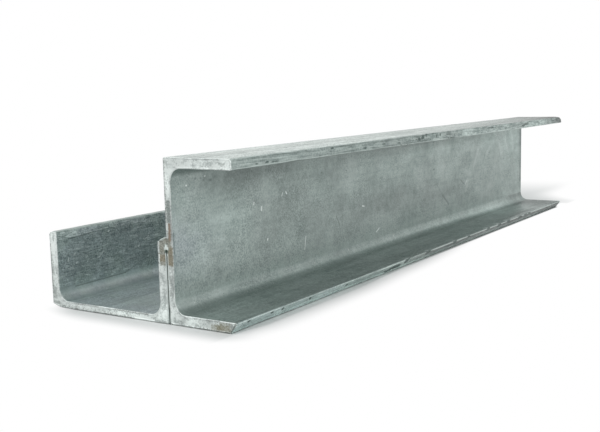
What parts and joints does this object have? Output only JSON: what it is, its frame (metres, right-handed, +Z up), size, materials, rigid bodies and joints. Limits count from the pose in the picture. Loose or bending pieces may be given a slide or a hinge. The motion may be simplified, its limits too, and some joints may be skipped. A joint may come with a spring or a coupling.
{
  "type": "welded steel channel corner post",
  "caption": "Retaining wall corner post: parallel flange channels welded back to flange, so their mouths take sleepers at right angles.",
  "frame": {"origin": "on the floor, in the middle of the post's footprint", "axes": "+Y along the post, away from the end that the picture shows; +X across it, the way the upright channel opens; +Z up"},
  "size_m": [0.1504, 0.6, 0.1],
  "materials": {
    "galvanised_steel": "hot-dip galvanised, weathered matt grey, with scratches and light rust at the sawn ends",
    "weld_metal": "rippled weld bead, hot-dip galvanised with the channels"
  },
  "bodies": {
    "root": {"lying_channel": "galvanised_steel", "upright_channel": "galvanised_steel", "seam_weld": "weld_metal"}
  },
  "joints": []
}
